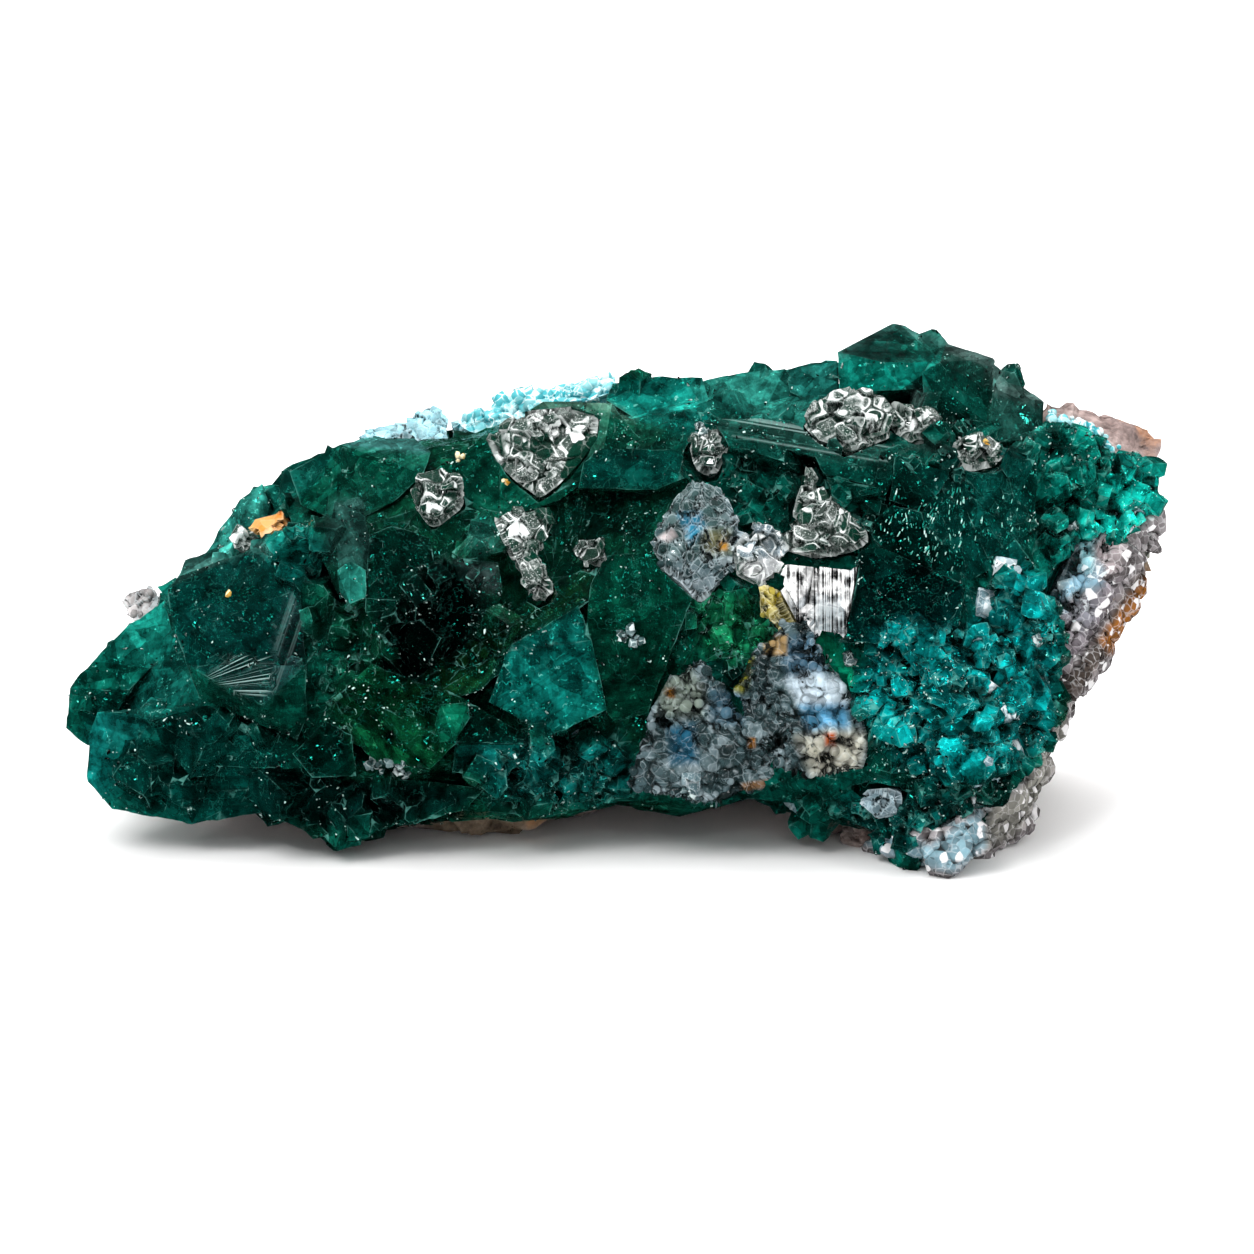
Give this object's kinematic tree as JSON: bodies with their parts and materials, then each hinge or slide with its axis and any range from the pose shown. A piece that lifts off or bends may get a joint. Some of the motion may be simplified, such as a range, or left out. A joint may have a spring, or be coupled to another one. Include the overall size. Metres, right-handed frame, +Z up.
{
  "type": "dioptase specimen",
  "caption": "Mineral specimen: a crust of deep blue-green dioptase crystals over a slab of grey rock, with patches of quartz druse and clear calcite.",
  "frame": {"origin": "on the resting plane, under the middle of the specimen's bounding box", "axes": "+X to the right along the specimen's length, +Y away from the viewer into the rock, +Z up; the display side faces -Y"},
  "size_m": [0.0728, 0.0326, 0.0315],
  "materials": {
    "host_rock": "rough broken pinkish grey rock with brown and ochre stain",
    "dioptase": "glassy deep blue-green crystal, clear at thin edges and nearly black in depth",
    "calcite": "glassy clear to white, cracked inside",
    "quartz": "glassy blue-grey druse with a sparkle",
    "pearly_blade": "pearly white cleavage with fine upright lines",
    "yellow_crystals": "glassy yellow-green",
    "cyan_rim": "frosted pale cyan to white",
    "orange_plate": "resinous orange plate"
  },
  "bodies": {
    "root": {"host_rock": "host_rock", "dioptase_crust": "dioptase", "calcite_crown": "calcite", "calcite_tuft": "calcite", "calcite_patch": "calcite", "calcite_disc": "calcite", "calcite_spur": "calcite", "calcite_nugget": "calcite", "calcite_star": "calcite", "calcite_fan": "calcite", "calcite_speck": "calcite", "white_rhomb": "calcite", "quartz_druse_upper": "quartz", "quartz_druse_right": "quartz", "quartz_druse_left": "quartz", "quartz_druse_edge": "quartz", "quartz_stub": "quartz", "quartz_foot": "quartz", "rim_quartz": "quartz", "left_rim_quartz": "quartz", "pearly_blade_left": "pearly_blade", "pearly_blade_right": "pearly_blade", "yellow_crystals": "yellow_crystals", "cyan_rim": "cyan_rim", "orange_plate": "orange_plate"}
  },
  "joints": []
}
